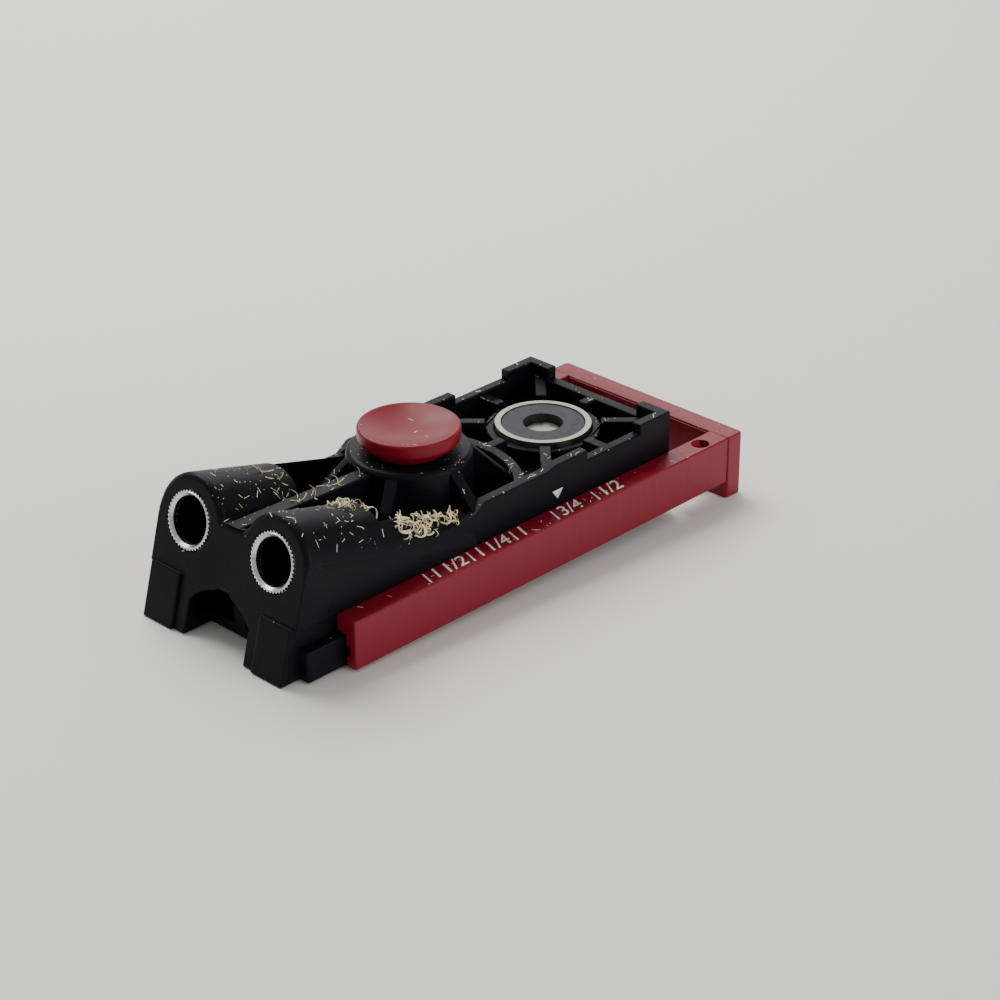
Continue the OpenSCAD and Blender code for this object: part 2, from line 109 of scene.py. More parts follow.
def baked(name, mesh, kind, prepare):
    # Runs one modifier over a mesh and gives back the result as a plain mesh
    item = bpy.data.objects.new(name, mesh)
    bpy.context.scene.collection.objects.link(item)
    modifier = item.modifiers.new(name, kind)
    prepare(modifier)
    bpy.context.view_layer.update()
    graph = bpy.context.evaluated_depsgraph_get()
    result = bpy.data.meshes.new_from_object(item.evaluated_get(graph), preserve_all_data_layers=True,
                                             depsgraph=graph)
    result.name = name
    item.modifiers.remove(modifier)
    bpy.data.objects.remove(item)
    return result


# Materials

def speckled(tree, shader, coords, look):
    # Pale wood dust: small dots in Voronoi cells, on what faces up, more of them where a slow noise is high
    cells = addNode(tree, "ShaderNodeTexVoronoi", {"Scale": perSize(look["dustCell"])}, {"Vector": coords})
    dots = addNode(tree, "ShaderNodeMath", {"operation": "LESS_THAN", 1: look["dustDot"]},
                   {0: cells.outputs["Distance"]})
    drift = addNode(tree, "ShaderNodeTexNoise", {"Scale": perSize(look["drift"]), "Detail": 3.0},
                    {"Vector": coords})
    thin, thick = 0.38, 0.7
    share = addNode(tree, "ShaderNodeMapRange",
                    {"From Min": thin, "From Max": thick, "To Max": look["dustShare"]},
                    {"Value": drift.outputs["Fac"]})
    lot = addNode(tree, "ShaderNodeSeparateColor", None, {"Color": cells.outputs["Color"]})
    some = addNode(tree, "ShaderNodeMath", {"operation": "LESS_THAN"},
                   {0: lot.outputs["Red"], 1: share.outputs["Result"]})
    facing = addNode(tree, "ShaderNodeNewGeometry")
    upward = addNode(tree, "ShaderNodeSeparateXYZ", None, {"Vector": facing.outputs["Normal"]})
    steep, flat = 0.3, 0.8
    rise = addNode(tree, "ShaderNodeMapRange", {"From Min": steep, "From Max": flat},
                   {"Value": upward.outputs["Z"]})
    spots = addNode(tree, "ShaderNodeMath", {"operation": "MULTIPLY"},
                    {0: dots.outputs[0], 1: some.outputs[0]})
    lying = addNode(tree, "ShaderNodeMath", {"operation": "MULTIPLY"},
                    {0: spots.outputs[0], 1: rise.outputs[0]})
    mixed = addNode(tree, "ShaderNodeMix", {"data_type": "RGBA"}, {"Factor": lying.outputs[0]})
    mixed.inputs[6].default_value = linear(look["colour"])  # inputs 6 and 7 are the mix node's colours
    mixed.inputs[7].default_value = linear(look["dust"])
    tree.links.new(mixed.outputs[2], shader.inputs["Base Color"])


def grain(tree, shader, coords, size, strength, detail=3.0):
    deepest = 0.2 * mm
    noise = addNode(tree, "ShaderNodeTexNoise", {"Scale": perSize(size), "Detail": detail}, {"Vector": coords})
    bump = addNode(tree, "ShaderNodeBump", {"Strength": strength, "Distance": deepest},
                   {"Height": noise.outputs["Fac"]})
    tree.links.new(bump.outputs["Normal"], shader.inputs["Normal"])
    return noise


def uneven(tree, shader, value, low, high):
    # Gloss that drifts between two roughness values along a noise, most of which lies round its middle
    usualLow, usualHigh = 0.35, 0.65
    dull = addNode(tree, "ShaderNodeMapRange",
                   {"From Min": usualLow, "From Max": usualHigh, "To Min": low, "To Max": high},
                   {"Value": value})
    tree.links.new(dull.outputs["Result"], shader.inputs["Roughness"])


def blackNylon():
    # Black glass-filled nylon with a fine moulded grain: nearly black, a dull sheen where light grazes it,
    # and pale wood dust on what faces up
    look = {"colour": "#121216", "dust": "#c9c1b2", "roughness": 0.4, "grain": 0.4, "grainDepth": 0.25,
            "dustCell": 0.6, "dustDot": 0.2, "dustShare": 0.3, "drift": 7.0, "patch": 16.0, "sheen": 0.09,
            "glossier": 0.06, "duller": 0.08}
    material, tree, shader, coords = newMaterial("black_nylon", look["colour"], look["roughness"],
                                                 Specular_IOR_Level=look["sheen"])
    speckled(tree, shader, coords, look)
    grain(tree, shader, coords, look["grain"], look["grainDepth"])
    patches = addNode(tree, "ShaderNodeTexNoise", {"Scale": perSize(look["patch"]), "Detail": 4.0},
                      {"Vector": coords})
    uneven(tree, shader, patches.outputs["Fac"], look["roughness"] - look["glossier"],
           look["roughness"] + look["duller"])
    return material


def redPlastic():
    # Crimson polycarbonate of the frame: satin, with the faint upright draw lines of its mould
    look = {"colour": "#800d21", "dust": "#d8b6a8", "roughness": 0.34, "line": 1.1, "lineDepth": 0.35,
            "dustCell": 0.9, "dustDot": 0.16, "dustShare": 0.12, "drift": 9.0, "sheen": 0.3, "drawOut": 0.02,
            "glossier": 0.04, "duller": 0.06}
    material, tree, shader, coords = newMaterial("red_plastic", look["colour"], look["roughness"],
                                                 Specular_IOR_Level=look["sheen"])
    speckled(tree, shader, coords, look)
    drawn = addNode(tree, "ShaderNodeMapping", {"Scale": (1.0, 1.0, look["drawOut"])}, {"Vector": coords})
    lines = grain(tree, shader, drawn.outputs["Vector"], look["line"], look["lineDepth"], 6.0)
    uneven(tree, shader, lines.outputs["Fac"], look["roughness"] - look["glossier"],
           look["roughness"] + look["duller"])
    return material


def buttonPlastic():
    # Button: the same crimson, polished by thumbs, with faint smears in the gloss
    look = {"colour": "#7d0c1e", "roughness": 0.3, "smear": 0.1, "smearSize": 4.0, "orangePeel": 1.2,
            "peelDepth": 0.04, "sheen": 0.2}
    material, tree, shader, coords = newMaterial("button_plastic", look["colour"], look["roughness"],
                                                 Specular_IOR_Level=look["sheen"])
    smears = addNode(tree, "ShaderNodeTexNoise", {"Scale": perSize(look["smearSize"]), "Detail": 5.0},
                     {"Vector": coords})
    uneven(tree, shader, smears.outputs["Fac"], look["roughness"], look["roughness"] + look["smear"])
    grain(tree, shader, coords, look["orangePeel"], look["peelDepth"])
    return material


def metal(name, colour, roughness, mark, depth):
    # Bare metal: one colour, with fine turning marks that break up its reflections
    material, tree, shader, coords = newMaterial(name, colour, roughness, Metallic=1.0)
    glossier, duller = 0.06, 0.1
    marks = grain(tree, shader, coords, mark, depth)
    uneven(tree, shader, marks.outputs["Fac"], roughness - glossier, roughness + duller)
    return material


def twoTone(name, roughness, size, dark, pale):
    # Dull surface whose colour drifts between two tones
    material, tree, shader, coords = newMaterial(name, pale, roughness)
    noise = addNode(tree, "ShaderNodeTexNoise", {"Scale": perSize(size), "Detail": 4.0}, {"Vector": coords})
    ramp = addNode(tree, "ShaderNodeValToRGB", None, {"Fac": noise.outputs["Fac"]})
    tones = {0.33: dark, 0.55: pale}
    for element, (position, colour) in zip(ramp.color_ramp.elements, tones.items()):
        element.position = position
        element.color = linear(colour)
    tree.links.new(ramp.outputs["Color"], shader.inputs["Base Color"])
    return material


black = blackNylon()
red = redPlastic()
buttonRed = buttonPlastic()
steel = metal("bushing_steel", "#cfd1d3", 0.26, 1.1, 0.06)
boreShadeSteel = metal("bore_steel_painted_shade", "#3a3a3c", 0.4, 0.8, 0.05)  # painted shade: a darker steel for the shade deep in the bore
zinc = metal("zinc_steel", "#a6a8aa", 0.34, 1.4, 0.1)
spring = metal("spring_steel", "#8f9296", 0.3, 1.2, 0.05)
nickel = metal("nickel_steel", "#9f9b93", 0.36, 1.6, 0.06)
magnet = twoTone("ferrite", 0.7, 1.2, "#242326", "#343336")  # sintered: dark, dull and mottled
ink = twoTone("white_ink", 0.6, 0.7, "#cfc3ba", "#f4f1ec")  # matt printing ink, a little worn
pine = twoTone("pine_fibre", 0.7, 3.0, "#e2cfa4", "#fbf3df")  # fresh pine dust, from straw to cream
shaving = twoTone("pine_shaving", 0.65, 2.5, "#dcc78f", "#f4e8c4")  # curled strips, straw yellow
print("stage: materials")


# Moulded pieces: copies of the CAD meshes with softened edges

def moulded(node, name, material, body, slot, edge, rim=None):
    weld, onPlane, flat = 0.002 * mm, 0.0001 * mm, math.radians(1.0)
    bm = bmesh.new()
    bm.from_mesh(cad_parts[node].data)
    bmesh.ops.remove_doubles(bm, verts=bm.verts, dist=weld)
    for y in edge["parting"]:
        # Flat faces are parted through their holes, so that each is a simple outline
        cut = bmesh.ops.bisect_plane(bm, geom=bm.verts[:] + bm.edges[:] + bm.faces[:], dist=onPlane,
                                     plane_co=(0, y * mm, 0), plane_no=(0, 1, 0))
        for e in cut["geom_cut"]:
            if isinstance(e, bmesh.types.BMEdge):
                e.seam = True
    bmesh.ops.dissolve_limit(bm, angle_limit=flat, verts=bm.verts, edges=bm.edges, delimit={"SEAM"})
    if rim:
        soften(bm, [e for e in bm.edges if convex(e, edge) and rim["picks"](e)], rim)
    soften(bm, [e for e in bm.edges if convex(e, edge) and roomy(e, edge)], edge)
    mesh = bpy.data.meshes.new(name)
    bm.to_mesh(mesh)
    bm.free()
    shadeByAngle(mesh, edge["smooth"])

    def byArea(modifier):
        modifier.keep_sharp = True
        modifier.weight = 100

    meshObject(name, baked(name, mesh, "WEIGHTED_NORMAL", byArea), material, body, slot, node)


def convex(e, edge):
    return len(e.link_faces) == 2 and e.calc_face_angle_signed(0.0) > math.radians(edge["fromAngle"])


def roomy(e, edge):
    length = e.calc_length()
    return length > edge["shortest"] and min(f.calc_area() for f in e.link_faces) / length > edge["room"]


def soften(bm, edges, size):
    bmesh.ops.bevel(bm, geom=edges, offset=size["radius"], offset_type="OFFSET", segments=size["steps"],
                    profile=0.5, affect="EDGES", clamp_overlap=False)


# Where the drill axes meet the slanted end face, and the bushings on them, in millimetres and degrees
drill = {"angle": 15.0, "x": -60.0, "y": 11.8, "z": 21.2, "proud": 0.25, "length": 20.0, "radius": 5.85,
         "bore": 4.76, "land": 5.5, "mouth": 0.5, "shadeFrom": 1.5, "bevel": 0.12, "groove": 0.6, "facets": 128,
         "smooth": 30}


def endRim(e):
    # Outer edge of the slanted end face: on its plane, but not round a bushing or the arch
    rim = {"nearPlane": 0.01, "lowest": 10.6, "clearOfBushing": 6.5}
    lean = math.radians(drill["angle"])
    for v in e.verts:
        x, y, z = (c / mm for c in v.co)
        up = z - drill["z"]
        if abs(x - drill["x"] - up * math.tan(lean)) > rim["nearPlane"] or z < rim["lowest"]:
            return False
        if math.hypot(abs(y) - drill["y"], up / math.cos(lean)) < rim["clearOfBushing"]:
            return False
    return True


bodyEdge = {"radius": 0.35 * mm, "steps": 3, "fromAngle": 35, "shortest": 0.3 * mm, "room": 0.8 * mm,
            "smooth": 32, "parting": (-drill["y"], 0, drill["y"])}
railEdge = {"radius": 0.3 * mm, "steps": 3, "fromAngle": 35, "shortest": 0.3 * mm, "room": 0.8 * mm,
            "smooth": 32, "parting": (-22.9, 22.9)}
bodyRim = {"radius": 1.3 * mm, "steps": 4, "picks": endRim}
moulded("jig_body", "jig_moulding", black, "body", "black_nylon", bodyEdge, bodyRim)
moulded("right_rail", "right_rail_moulding", red, "frame", "red_plastic", railEdge)
moulded("left_rail", "left_rail_moulding", red, "frame", "red_plastic", railEdge)
moulded("stop_bar", "stop_bar_moulding", red, "frame", "red_plastic", railEdge)
print("stage: moulded pieces")


# Turned pieces

def turned(profile, count):
    # Spins an outline of radii and heights in millimetres round Z
    weld = 0.001 * mm
    bm = bmesh.new()
    verts = [bm.verts.new((r * mm, 0, z * mm)) for r, z in profile]
    edges = [bm.edges.new((a, b)) for a, b in zip(verts, verts[1:])]
    bmesh.ops.spin(bm, geom=verts + edges, axis=(0, 0, 1), cent=(0, 0, 0), dvec=(0, 0, 0),
                   angle=2 * math.pi, steps=count, use_merge=True)
    bmesh.ops.remove_doubles(bm, verts=bm.verts, dist=weld)
    bmesh.ops.recalc_face_normals(bm, faces=bm.faces)
    mesh = bpy.data.meshes.new("turned")
    bm.to_mesh(mesh)
    bm.free()
    return mesh


def arc(centre, radius, start, end, steps):
    angles = [math.radians(start + (end - start) * i / steps) for i in range(steps + 1)]
    return [(centre[0] + radius * math.cos(a), centre[1] + radius * math.sin(a)) for a in angles]


def buttonCap():
    size = {"radius": 10.3, "low": 25.6, "high": 29.05, "edge": 1.3, "lip": 0.5, "dish": 1.7, "neckRadius": 7.5,
            "neckLow": 20.8, "stemRadius": 3.2, "lockThick": 1.6, "facets": 96, "smooth": 40,
            "edgeSteps": 10, "lipSteps": 8, "dishSteps": 24}
    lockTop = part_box("lock_plate")[0].z / mm + size["lockThick"]
    rim = size["radius"] - size["lip"]
    ball = (rim * rim + size["dish"] ** 2) / (2 * size["dish"])
    half = math.degrees(math.asin(rim / ball))
    profile = [(0, lockTop), (size["stemRadius"], lockTop), (size["stemRadius"], size["neckLow"]),
               (size["neckRadius"], size["neckLow"]), (size["neckRadius"], size["low"])]
    profile += arc((size["radius"] - size["edge"], size["low"] + size["edge"]), size["edge"], -90, 0,
                   size["edgeSteps"])
    profile += arc((rim, size["high"] - size["lip"]), size["lip"], 0, 90, size["lipSteps"])
    profile += arc((0, size["high"] - size["dish"] + ball), ball, half - 90, -90, size["dishSteps"])
    mesh = turned(profile, size["facets"])
    mesh.transform(Matrix.Translation((buttonX * mm, 0, 0)))
    shadeByAngle(mesh, size["smooth"])
    meshObject("thumb_button", mesh, buttonRed, "button", "button_plastic", "button_cap")


buttonCap()


def returnSpring():
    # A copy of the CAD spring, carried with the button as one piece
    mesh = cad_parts["button_spring"].data.copy()
    item = meshObject("return_spring", mesh, spring, "button", "spring_steel", "button_spring")
    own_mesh(item)


returnSpring()


def onDrill(side):
    lean = Matrix.Rotation(math.radians(90 + drill["angle"]), 4, "Y")
    return Matrix.Translation((drill["x"] * mm, side * drill["y"] * mm, drill["z"] * mm)) @ lean


def bushing(side, name, node):
    d = drill
    back, bevel, groove, slack = d["length"] - d["proud"], d["bevel"], d["groove"], 0.01
    profile = [(d["bore"], back), (d["bore"], d["shadeFrom"]), (d["bore"], d["mouth"] - d["proud"]),
               (d["bore"] + d["mouth"], -d["proud"]),
               (d["land"] - bevel, -d["proud"]), (d["land"], bevel - d["proud"]), (d["land"], groove),
               (d["radius"], groove), (d["radius"], back), (d["bore"], back)]
    mesh = turned(profile, d["facets"])
    # Bore faces deeper than the mouth take the darker steel: painted shade of the deep hole
    reach, depth = (d["bore"] + slack) * mm, d["shadeFrom"] * mm
    shadedFaces = [math.hypot(p.center.x, p.center.y) < reach and p.center.z > depth for p in mesh.polygons]
    mesh.transform(onDrill(side))
    shadeByAngle(mesh, d["smooth"])
    meshObject(name, mesh, steel, "body", "bushing_steel", node)
    mesh.materials.append(boreShadeSteel)
    mesh.polygons.foreach_set("material_index", shadedFaces)


def groupInput(group, name, kind, value):
    group.interface.new_socket(name=name, in_out="INPUT", socket_type=kind).default_value = value


def newGroup(name):
    group = bpy.data.node_groups.new(name, "GeometryNodeTree")
    group.interface.new_socket(name="Geometry", in_out="OUTPUT", socket_type="NodeSocketGeometry")
    group.interface.new_socket(name="Geometry", in_out="INPUT", socket_type="NodeSocketGeometry")
    return group


def closeGroup(group, spread, material):
    real = addNode(group, "GeometryNodeRealizeInstances", None, {"Geometry": spread.outputs["Instances"]})
    paint = addNode(group, "GeometryNodeSetMaterial", {"Material": material},
                    {"Geometry": real.outputs["Geometry"]})
    addNode(group, "NodeGroupOutput", None, {"Geometry": paint.outputs["Geometry"]})


def grown(name, group, values, start=None):
    # One piece from a Geometry Nodes group, with its inputs set by identifier
    def prepare(modifier):
        modifier.node_group = group
        for socket in group.interface.items_tree:
            if socket.in_out == "INPUT" and socket.name in values:
                modifier[socket.identifier] = values[socket.name]

    return baked(name, start or bpy.data.meshes.new(name + "_seed"), "NODES", prepare)


def knurlGroup(material):
    # A ring of equal teeth round Z: each tooth is a cube turned onto its corner
    group = newGroup("knurl_ring")
    groupInput(group, "Count", "NodeSocketInt", 40)
    groupInput(group, "Radius", "NodeSocketFloat", 1.0)
    groupInput(group, "Tooth", "NodeSocketVector", (1, 1, 1))
    source = addNode(group, "NodeGroupInput")
    circle = addNode(group, "GeometryNodeMeshCircle", None,
                     {"Vertices": source.outputs["Count"], "Radius": source.outputs["Radius"]})
    tooth = addNode(group, "GeometryNodeMeshCube", None, {"Size": source.outputs["Tooth"]})
    corner = addNode(group, "GeometryNodeTransform", {"Rotation": (0, 0, math.radians(45))},
                     {"Geometry": tooth.outputs["Mesh"]})
    place = addNode(group, "GeometryNodeInputPosition")
    turn = addNode(group, "FunctionNodeAlignRotationToVector", {"axis": "X"}, {"Vector": place.outputs[0]})
    spread = addNode(group, "GeometryNodeInstanceOnPoints", None,
                     {"Points": circle.outputs["Mesh"], "Instance": corner.outputs["Geometry"],
                      "Rotation": turn.outputs["Rotation"]})
    closeGroup(group, spread, material)
    return group


knurl = {"count": 44, "radius": 5.52, "tooth": (0.5, 0.5, 0.55), "centre": 0.12}
knurlRing = knurlGroup(steel)
for side, name, node in ((-1, "right", "right_bushing"), (1, "left", "left_bushing")):
    bushing(side, name + "_drill_bushing", node)
    teeth = grown(name + "_knurl", knurlRing, {"Count": knurl["count"], "Radius": knurl["radius"] * mm,
                                               "Tooth": [v * mm for v in knurl["tooth"]]})
    teeth.transform(onDrill(side) @ Matrix.Translation((0, 0, knurl["centre"] * mm)))
    meshObject(name + "_knurl", teeth, steel, "body", "bushing_steel")
print("stage: turned pieces")


# Printed scale and pointer

def lettered(text, height, slant, weight, place):
    curve = bpy.data.curves.new("letters", "FONT")
    curve.body = text
    curve.size = height
    curve.shear = slant
    curve.offset = weight
    curve.space_word = scale["wordGap"]
    curve.align_x = "LEFT"
    curve.align_y = "CENTER"
    item = bpy.data.objects.new("letters", curve)
    bpy.context.scene.collection.objects.link(item)
    bpy.context.view_layer.update()
    mesh = bpy.data.meshes.new_from_object(item.evaluated_get(bpy.context.evaluated_depsgraph_get()))
    bpy.data.objects.remove(item)
    mesh.transform(place)
    return mesh


def tickGroup(material):
    # A row of equal flat marks along X, starting at X = 0
    group = newGroup("tick_row")
    groupInput(group, "Count", "NodeSocketInt", 5)
    groupInput(group, "Step", "NodeSocketVector", (1, 0, 0))
    groupInput(group, "Mark", "NodeSocketVector", (1, 1, 1))
    groupInput(group, "Turn", "NodeSocketVector", (0, 0, 0))
    source = addNode(group, "NodeGroupInput")
    row = addNode(group, "GeometryNodeMeshLine", None,
                  {"Count": source.outputs["Count"], "Offset": source.outputs["Step"]})
    mark = addNode(group, "GeometryNodeMeshCube", None, {"Size": source.outputs["Mark"]})
    spread = addNode(group, "GeometryNodeInstanceOnPoints", None,
                     {"Points": row.outputs["Mesh"], "Instance": mark.outputs["Mesh"],
                      "Rotation": source.outputs["Turn"]})
    closeGroup(group, spread, material)
    return group


scale = {"first": 20.05, "step": -11.85, "labels": ("1/2", "3/4", "1", "1 1/4", "1 1/2"), "height": 4.9,
         "slant": 0.3, "weight": 0.04, "y": 22.55, "ink": 0.03, "tickLength": 3.7, "tickWidth": 0.36,
         "tickOffset": -3.6, "textOffset": -2.7, "wordGap": 0.4}
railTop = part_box("right_rail")[1].z
tickRow = tickGroup(ink)


def printedScale(side, name):
    s = scale
    turn = Matrix.Rotation(math.pi if side > 0 else 0, 4, "Z")
    joined = bmesh.new()
    for i, label in enumerate(s["labels"]):
        spot = Vector((s["first"] + i * s["step"], side * s["y"], railTop / mm + s["ink"])) * mm
        place = Matrix.Translation(spot) @ turn @ Matrix.Translation((s["textOffset"] * mm, 0, 0))
        joined.from_mesh(lettered(label, s["height"] * mm, s["slant"], s["weight"] * mm, place))
    row = grown("ticks", tickRow, {"Count": len(s["labels"]), "Step": (s["step"] * mm, 0, 0),
                                   "Mark": (s["tickWidth"] * mm, s["tickLength"] * mm, s["ink"] * mm),
                                   "Turn": (0, 0, -math.atan(s["slant"]))})
    start = s["first"] - side * s["tickOffset"]
    row.transform(Matrix.Translation((start * mm, side * s["y"] * mm, railTop + s["ink"] / 2 * mm)))
    joined.from_mesh(row)
    mesh = bpy.data.meshes.new(name)
    joined.to_mesh(mesh)
    joined.free()
    meshObject(name, mesh, ink, "frame", None)


printedScale(-1, "right_scale")
printedScale(1, "left_scale")


def pointer(side, name):
    size = {"x": 8.3, "half": 1.55, "low": 11.7, "high": 13.7, "wall": 19.8, "ink": 0.03}
    y = side * (size["wall"] + size["ink"]) * mm
    points = [(size["x"] - size["half"], size["high"]), (size["x"] + size["half"], size["high"]),
              (size["x"], size["low"])]
    mesh = bpy.data.meshes.new(name)
    mesh.from_pydata([(x * mm, y, z * mm) for x, z in points], [], [(0, 1, 2) if side > 0 else (2, 1, 0)])
    meshObject(name, mesh, ink, "body", None)


pointer(-1, "right_pointer")
pointer(1, "left_pointer")
print("stage: printing")


# Dust and shavings that lie on the jig

def scattered(group, source, thing, smallest, largest, material):
    # Spreads a thing over the start mesh, flat on its faces, turned and sized at random
    turnSeed, sizeSeed = 3, 7  # input 8 of a random value is its seed
    points = addNode(group, "GeometryNodeDistributePointsOnFaces", None,
                     {"Mesh": source.outputs["Geometry"], "Density": source.outputs["Density"],
                      "Seed": source.outputs["Seed"]})
    angle = addNode(group, "FunctionNodeRandomValue",
                    {"data_type": "FLOAT", 2: 0.0, 3: 2 * math.pi, 8: turnSeed})
    spin = addNode(group, "FunctionNodeAxisAngleToRotation", None, {"Angle": angle.outputs[1]})
    turn = addNode(group, "FunctionNodeRotateRotation", {"rotation_space": "LOCAL"},
                   {0: points.outputs["Rotation"], 1: spin.outputs["Rotation"]})
    size = addNode(group, "FunctionNodeRandomValue",
                   {"data_type": "FLOAT_VECTOR", 0: smallest, 1: largest, 8: sizeSeed})
    spread = addNode(group, "GeometryNodeInstanceOnPoints", None,
                     {"Points": points.outputs["Points"], "Instance": thing,
                      "Rotation": turn.outputs["Rotation"], "Scale": size.outputs[0]})
    closeGroup(group, spread, material)


def fibreGroup(material):
    group = newGroup("fibre_scatter")
    groupInput(group, "Density", "NodeSocketFloat", 1.0)
    groupInput(group, "Seed", "NodeSocketInt", 1)
    groupInput(group, "Fibre", "NodeSocketVector", (1, 1, 1))
    source = addNode(group, "NodeGroupInput")
    smallest, largest = (0.25, 0.6, 0.7), (2.0, 1.4, 1.3)  # times the length, width and height of a fibre
    fibre = addNode(group, "GeometryNodeMeshCube", None, {"Size": source.outputs["Fibre"]})
    scattered(group, source, fibre.outputs["Mesh"], smallest, largest, material)
    return group


def curlGroup(material):
    # Thin strips wound into loose curls, lying on their sides
    group = newGroup("curl_scatter")
    groupInput(group, "Density", "NodeSocketFloat", 1.0)
    groupInput(group, "Seed", "NodeSocketInt", 1)
    for name in ("Turns", "Radius", "Length", "Width", "Thickness"):
        groupInput(group, name, "NodeSocketFloat", 1.0)
    groupInput(group, "Lift", "NodeSocketVector", (0, 0, 0))
    source = addNode(group, "NodeGroupInput")
    pointsPerTurn, tightest = 12, 0.3 * mm
    smallest, largest = (0.5, 0.5, 0.4), (1.3, 1.6, 1.0)  # times the width, length and height of a curl
    winding = addNode(group, "GeometryNodeCurveSpiral", {"Resolution": pointsPerTurn, "Start Radius": tightest},
                      {"Rotations": source.outputs["Turns"], "End Radius": source.outputs["Radius"],
                       "Height": source.outputs["Length"]})
    strip = addNode(group, "GeometryNodeCurvePrimitiveQuadrilateral", None,
                    {"Width": source.outputs["Thickness"], "Height": source.outputs["Width"]})
    curl = addNode(group, "GeometryNodeCurveToMesh", {"Fill Caps": True},
                   {"Curve": winding.outputs["Curve"], "Profile Curve": strip.outputs["Curve"]})
    lying = addNode(group, "GeometryNodeTransform", {"Rotation": (math.radians(90), 0, 0)},
                    {"Geometry": curl.outputs["Mesh"], "Translation": source.outputs["Lift"]})
    scattered(group, source, lying.outputs["Geometry"], smallest, largest, material)
    return group


pineScatter = fibreGroup(pine)
curlScatter = curlGroup(shaving)


def dust(name, seat, body, size):
    mesh = grown(name, pineScatter, {"Density": size["density"], "Seed": size["seed"],
                                     "Fibre": [v * mm for v in size["fibre"]]}, seat)
    meshObject(name, mesh, pine, body, None)


def curls(name, seat, body, size):
    mesh = grown(name, curlScatter, {"Density": size["density"], "Seed": size["seed"], "Turns": size["turns"],
                                     "Radius": size["radius"] * mm, "Length": size["length"] * mm,
                                     "Width": size["width"] * mm, "Thickness": size["thickness"] * mm,
                                     "Lift": (0, size["length"] / 2 * mm, size["lift"] * mm)}, seat)
    meshObject(name, mesh, shaving, body, None)


def drapedSeat(node, area):
    # A patch of small cells that is dropped onto a CAD piece, without the cells that fall into an opening
    step, above, steepest = 0.6, 40.0, 1.2
    bm = bmesh.new()
    bm.from_mesh(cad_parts[node].data)
    tree = BVHTree.FromBMesh(bm)
    bm.free()
    (x0, x1), (y0, y1) = area["x"], area["y"]
    columns, rows = int((x1 - x0) / step), int((y1 - y0) / step)
    points, faces = [], []
    for i in range(columns + 1):
        for j in range(rows + 1):
            start = Vector((x0 + i * step, y0 + j * step, above)) * mm
            hit = tree.ray_cast(start, Vector((0, 0, -1)))[0]
            points.append(hit or start * Vector((1, 1, 0)))
    for i in range(columns):
        for j in range(rows):
            first = i * (rows + 1) + j
            cell = (first, first + rows + 1, first + rows + 2, first + 1)
            x, y = points[first].x / mm, points[first].y / mm
            heights = [points[k].z / mm for k in cell]
            clear = all(math.hypot(x - centre, y) > reach for centre, reach in area.get("keepOff", ()))
            if clear and min(heights) > area["lowest"] and max(heights) - min(heights) < steepest:
                faces.append(cell)
    seat = bpy.data.meshes.new("patch")
    seat.from_pydata(points, [], faces)
    return seat


def railSeat(side):
    # A strip along the middle of a rail's top
    strip = {"start": -50.0, "end": 44.0, "inner": 21.4, "outer": 24.4}
    x0, x1 = strip["start"] * mm, strip["end"] * mm
    y0, y1 = sorted((side * strip["inner"] * mm, side * strip["outer"] * mm))
    seat = bpy.data.meshes.new("rail_seat")
    corners = [(x0, y0, railTop), (x1, y0, railTop), (x1, y1, railTop), (x0, y1, railTop)]
    seat.from_pydata(corners, [], [(0, 1, 2, 3)])
    return seat


# Densities are per square metre, sizes in millimetres; x, y and lowest bound the patch it lies on
bodyDust = {"density": 90000.0, "seed": 4, "fibre": (0.85, 0.11, 0.08), "x": (-64.0, 42.0),
            "y": (-19.6, 19.6), "lowest": 10.6,
            "keepOff": ((buttonX, 13.0), (magnetX, 12.0))}  # not under the button or on the magnet
railDust = {"density": 90000.0, "seed": 9, "fibre": (0.6, 0.11, 0.07)}
buttonDust = {"density": 40000.0, "seed": 2, "fibre": (0.7, 0.11, 0.07), "x": (-20.0, -7.0),
              "y": (-7.0, 7.0), "lowest": 26.5}
wallCurls = {"density": 600000.0, "seed": 5, "turns": 1.3, "radius": 1.1, "length": 3.2, "width": 0.32,
             "thickness": 0.07, "lift": 0.6, "x": (-34.0, -18.0), "y": (-19.6, -15.4), "lowest": 10.6}
barrelCurls = {"density": 330000.0, "seed": 8, "turns": 1.3, "radius": 1.1, "length": 3.2, "width": 0.32,
               "thickness": 0.07, "lift": 0.5, "x": (-43.0, -33.4), "y": (-14.6, -7.4), "lowest": 16.0}
ribCurls = {"density": 130000.0, "seed": 3, "turns": 0.7, "radius": 1.0, "length": 4.0, "width": 0.26,
            "thickness": 0.07, "lift": 0.4, "x": (-44.0, -26.0), "y": (-2.0, 11.0), "lowest": 16.0}
dust("body_dust", drapedSeat("jig_body", bodyDust), "body", bodyDust)
dust("right_rail_dust", railSeat(-1), "frame", railDust)
dust("left_rail_dust", railSeat(1), "frame", railDust)
dust("button_dust", drapedSeat("button_cap", buttonDust), "button", buttonDust)
curls("wall_shavings", drapedSeat("jig_body", wallCurls), "body", wallCurls)
curls("barrel_shavings", drapedSeat("jig_body", barrelCurls), "body", barrelCurls)
curls("rib_shavings", drapedSeat("jig_body", ribCurls), "body", ribCurls)
print("stage: dust and shavings")


# Other CAD pieces keep their meshes and take a material
plain = {"rail_pins": zinc, "lock_plate": zinc, "lock_screw": zinc,
         "magnet_pot": nickel, "clamp_magnet": magnet, "magnet_screw": nickel}
for node, material in plain.items():
    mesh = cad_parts[node].data
    mesh.materials.clear()
    mesh.materials.append(material)
print("stage: plain pieces")


# Camera, light and floor
view = {"place": (-0.3514, -0.3511, 0.26605), "azimuth": -46.01, "elevation": 27.52, "lens": 99.7,
        "sensor": 36, "nearest": 0.01}


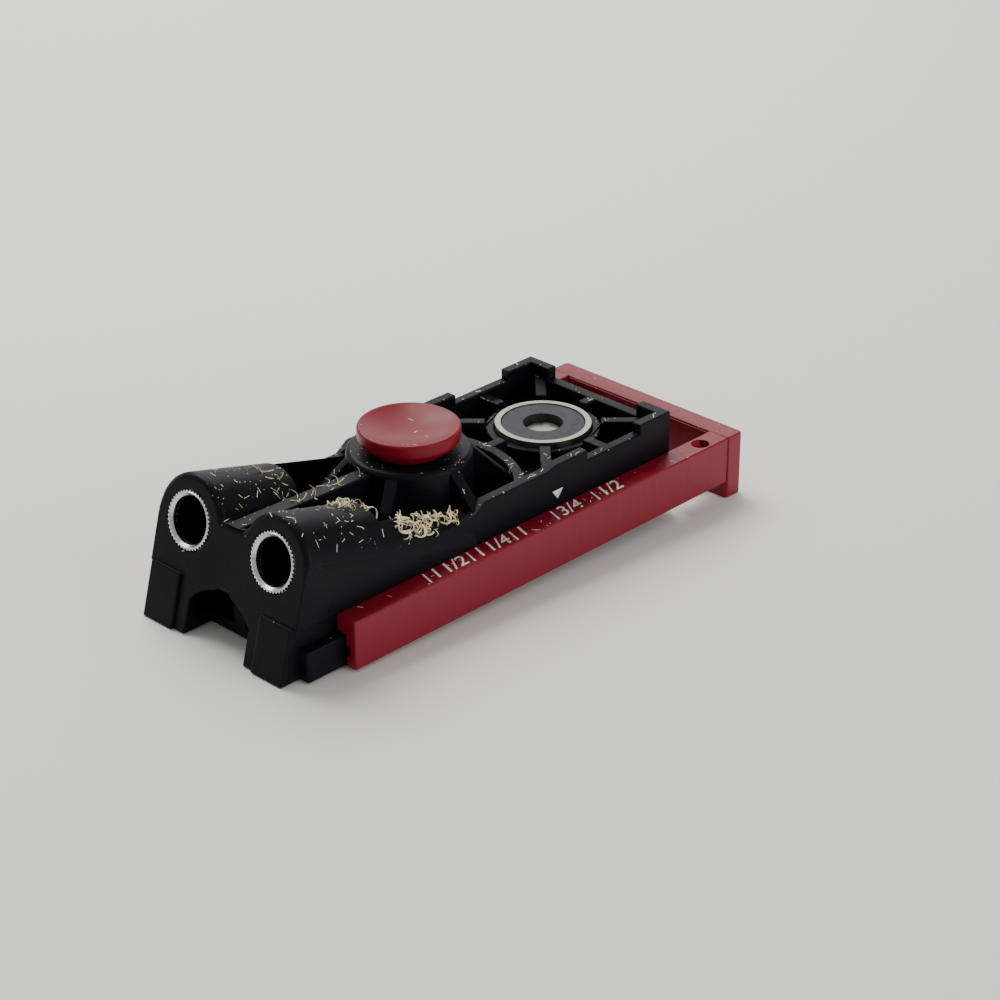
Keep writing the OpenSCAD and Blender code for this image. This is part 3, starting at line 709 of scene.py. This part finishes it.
def camera():
    data = bpy.data.cameras.new("camera")
    data.lens = view["lens"]
    data.sensor_width = view["sensor"]
    data.clip_start = view["nearest"]
    item = bpy.data.objects.new("camera", data)
    a, e = math.radians(view["azimuth"]), math.radians(view["elevation"])
    back = Vector((math.sin(a) * math.cos(e), -math.cos(a) * math.cos(e), math.sin(e)))
    item.location = view["place"]
    item.rotation_mode = "QUATERNION"
    item.rotation_quaternion = (-back).to_track_quat("-Z", "Y")
    bpy.context.scene.collection.objects.link(item)
    bpy.context.scene.camera = item


def softLight(name, place, power, size):
    data = bpy.data.lights.new(name, "AREA")
    data.energy = power
    data.size = size
    item = bpy.data.objects.new(name, data)
    item.location = place
    item.rotation_mode = "QUATERNION"
    item.rotation_quaternion = (-Vector(place)).to_track_quat("-Z", "Y")
    bpy.context.scene.collection.objects.link(item)


def studio():
    # The jig lies on its feet and on the stop bar's lower edge, so the floor is a little tilted
    floor = {"colour": "#f4f2ee", "half": 1.5, "foot": (-66.3, 0.0), "hook": (59.67, -4.0), "gap": 0.1,
             "roughness": 0.6, "patch": 400.0}
    sky = {"colour": "#f4f5f7", "strength": 0.5}
    lights = {"window": ((0.5, 0.45, 0.4), 1.7, 0.6), "top": ((0.1, 0.55, 0.75), 8.0, 0.6),
              "fill": ((0.15, -0.7, 0.25), 1.9, 0.5)}  # place, watts, side in metres
    (x0, z0), (x1, z1) = floor["foot"], floor["hook"]
    slope = (z1 - z0) / (x1 - x0)
    h = floor["half"]
    low, high = ((z0 - floor["gap"]) * mm + slope * (x - x0 * mm) for x in (-h, h))
    mesh = bpy.data.meshes.new("floor")
    mesh.from_pydata([(-h, -h, low), (h, -h, high), (h, h, high), (-h, h, low)], [], [(0, 1, 2, 3)])
    item = bpy.data.objects.new("floor", mesh)
    bpy.context.scene.collection.objects.link(item)
    paint = twoTone("floor", floor["roughness"], floor["patch"], floor["colour"], floor["colour"])
    mesh.materials.append(paint)
    world = bpy.data.worlds.new("studio")
    world.use_nodes = True
    backdrop = world.node_tree.nodes["Background"]
    backdrop.inputs["Color"].default_value = linear(sky["colour"])
    backdrop.inputs["Strength"].default_value = sky["strength"]
    bpy.context.scene.world = world
    for name, (place, power, size) in lights.items():
        softLight(name, place, power, size)


camera()
studio()
print("stage: camera and light")
